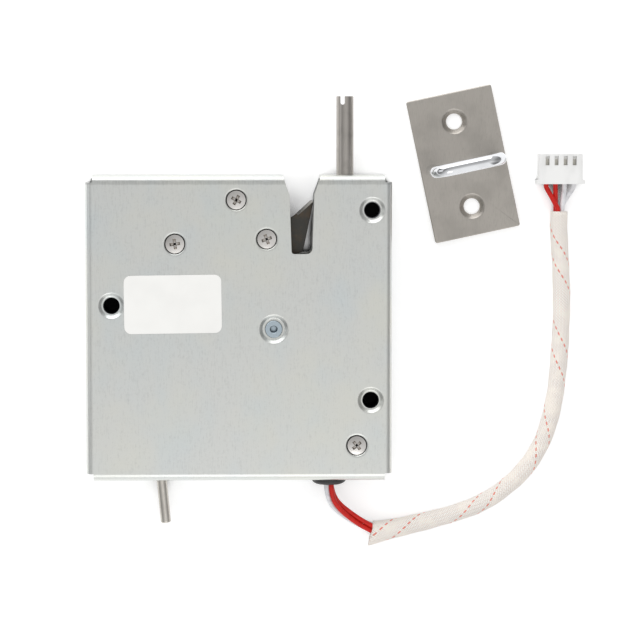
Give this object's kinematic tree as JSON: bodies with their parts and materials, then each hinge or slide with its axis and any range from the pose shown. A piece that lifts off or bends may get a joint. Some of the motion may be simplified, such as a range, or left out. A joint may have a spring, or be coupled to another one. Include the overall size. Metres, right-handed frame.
{
  "type": "electronic cabinet lock",
  "caption": "Flat square cabinet lock in a zinc plated case, with a claw latch in a notch, a push rod, a release rod, a braided lead and its strike.",
  "frame": {"origin": "middle of the back face of the lock's case, which is the face that goes against the cabinet", "axes": "+Z from the back face to the front cover, +Y towards the side where the strike enters, +X to the right as seen from the front"},
  "size_m": [0.1377, 0.1272, 0.026],
  "materials": {
    "zinc_plate": "zinc plated",
    "zinc_sheet": "zinc plated, faint mottle",
    "pillar_steel": "turned",
    "post_steel": "turned",
    "rivet_steel": "zinc plated, bluish",
    "screw_nickel": "nickel plated",
    "claw_steel": "hardened, dark",
    "pawl_steel": "hardened, dark",
    "spring_steel": "drawn wire",
    "release_steel": "plated",
    "bracket_steel": "zinc plated",
    "bobbin_nylon": "moulded",
    "winding_copper": "enamelled copper",
    "plunger_steel": "turned",
    "push_rod_steel": "brushed, dark",
    "clip_steel": "blackened",
    "switch_black": "moulded",
    "terminal_brass": "stamped",
    "switch_red": "moulded",
    "grommet_rubber": "moulded",
    "label_white": "paper label, bare",
    "wire_red": "extruded",
    "wire_white": "extruded",
    "sleeve_braid": "braided, with red tracer threads",
    "connector_nylon": "moulded",
    "terminal_tin": "tin plated",
    "strike_nickel": "satin nickel",
    "loop_chrome": "polished"
  },
  "bodies": {
    "case": {"base_plate": "zinc_plate", "cover": "zinc_sheet", "pillar_top_right": "pillar_steel", "pillar_left": "pillar_steel", "pillar_lower_right": "pillar_steel", "post_claw": "post_steel", "post_top": "post_steel", "post_left": "post_steel", "post_lower_right": "post_steel", "post_pawl": "rivet_steel", "cover_screws": "screw_nickel", "claw_spring": "spring_steel", "pawl_spring": "spring_steel", "solenoid_frame": "bracket_steel", "solenoid_core": "post_steel", "bobbin": "bobbin_nylon", "winding": "winding_copper", "push_rod_spring": "spring_steel", "rod_guide": "bracket_steel", "bracket_rivets": "post_steel", "switch_body": "switch_black", "switch_terminals": "terminal_brass", "switch_screws": "screw_nickel", "grommet": "grommet_rubber", "label": "label_white", "near_wire_red_1": "wire_red", "near_wire_red_2": "wire_red", "near_wire_white_1": "wire_white", "near_wire_white_2": "wire_white", "sleeve": "sleeve_braid", "far_wire_red_1": "wire_red", "far_wire_red_2": "wire_red", "far_wire_white_1": "wire_white", "far_wire_white_2": "wire_white", "connector": "connector_nylon", "connector_terminals": "terminal_tin", "strike_plate": "strike_nickel", "strike_loop": "loop_chrome"},
    "claw": {"claw": "claw_steel"},
    "pawl": {"pawl": "pawl_steel"},
    "release_rod": {"release_rod": "release_steel"},
    "plunger": {"plunger": "plunger_steel", "plunger_pin": "spring_steel"},
    "push_rod": {"push_rod": "push_rod_steel", "push_rod_clip": "clip_steel"},
    "switch_lever": {"switch_lever": "spring_steel"},
    "switch_button": {"switch_button": "switch_red"}
  },
  "joints": [
    {"name": "claw_turn", "type": "hinge", "parent": "case", "child": "claw", "pos_m": [0.0076, 0.0245, 0.0065], "axis": [0, 0, 1], "range_deg": [-64, 0], "stiffness_Nm_per_rad": 0.02, "springref_deg": 20.05, "deforming": ["claw_spring"]},
    {"name": "pawl_turn", "type": "hinge", "parent": "case", "child": "pawl", "pos_m": [0.0095, -0.0002, 0.0065], "axis": [0, 0, 1], "range_deg": [-5.5, 3], "stiffness_Nm_per_rad": 0.05, "deforming": ["pawl_spring"]},
    {"name": "release_pull", "type": "slide", "parent": "case", "child": "release_rod", "axis": [0.0958, -0.9954, 0], "range_m": [-0.0034, 0.0019]},
    {"name": "plunger_slide", "type": "slide", "parent": "case", "child": "plunger", "axis": [0, -1, 0], "range_m": [-0.002, 0.0011]},
    {"name": "push_rod_slide", "type": "slide", "parent": "case", "child": "push_rod", "axis": [0, -1, 0], "range_m": [0, 0.02], "stiffness_N_per_m": 150, "springref_m": -0.01, "deforming": ["push_rod_spring"]},
    {"name": "switch_lever_turn", "type": "hinge", "parent": "case", "child": "switch_lever", "pos_m": [0.0112, -0.0267, 0.0044], "axis": [0, 0, 1], "range_deg": [-8, 0], "stiffness_Nm_per_rad": 0.002, "springref_deg": 8.59},
    {"name": "switch_button_slide", "type": "slide", "parent": "case", "child": "switch_button", "axis": [0, -1, 0], "range_m": [0, 0.00072]}
  ],
  "couplings": [
    {"joint": "release_pull", "follows": "pawl_turn", "m_per_rad": 0.035},
    {"joint": "plunger_slide", "follows": "pawl_turn", "m_per_rad": 0.02},
    {"joint": "switch_button_slide", "follows": "switch_lever_turn", "m_per_rad": -0.005}
  ]
}
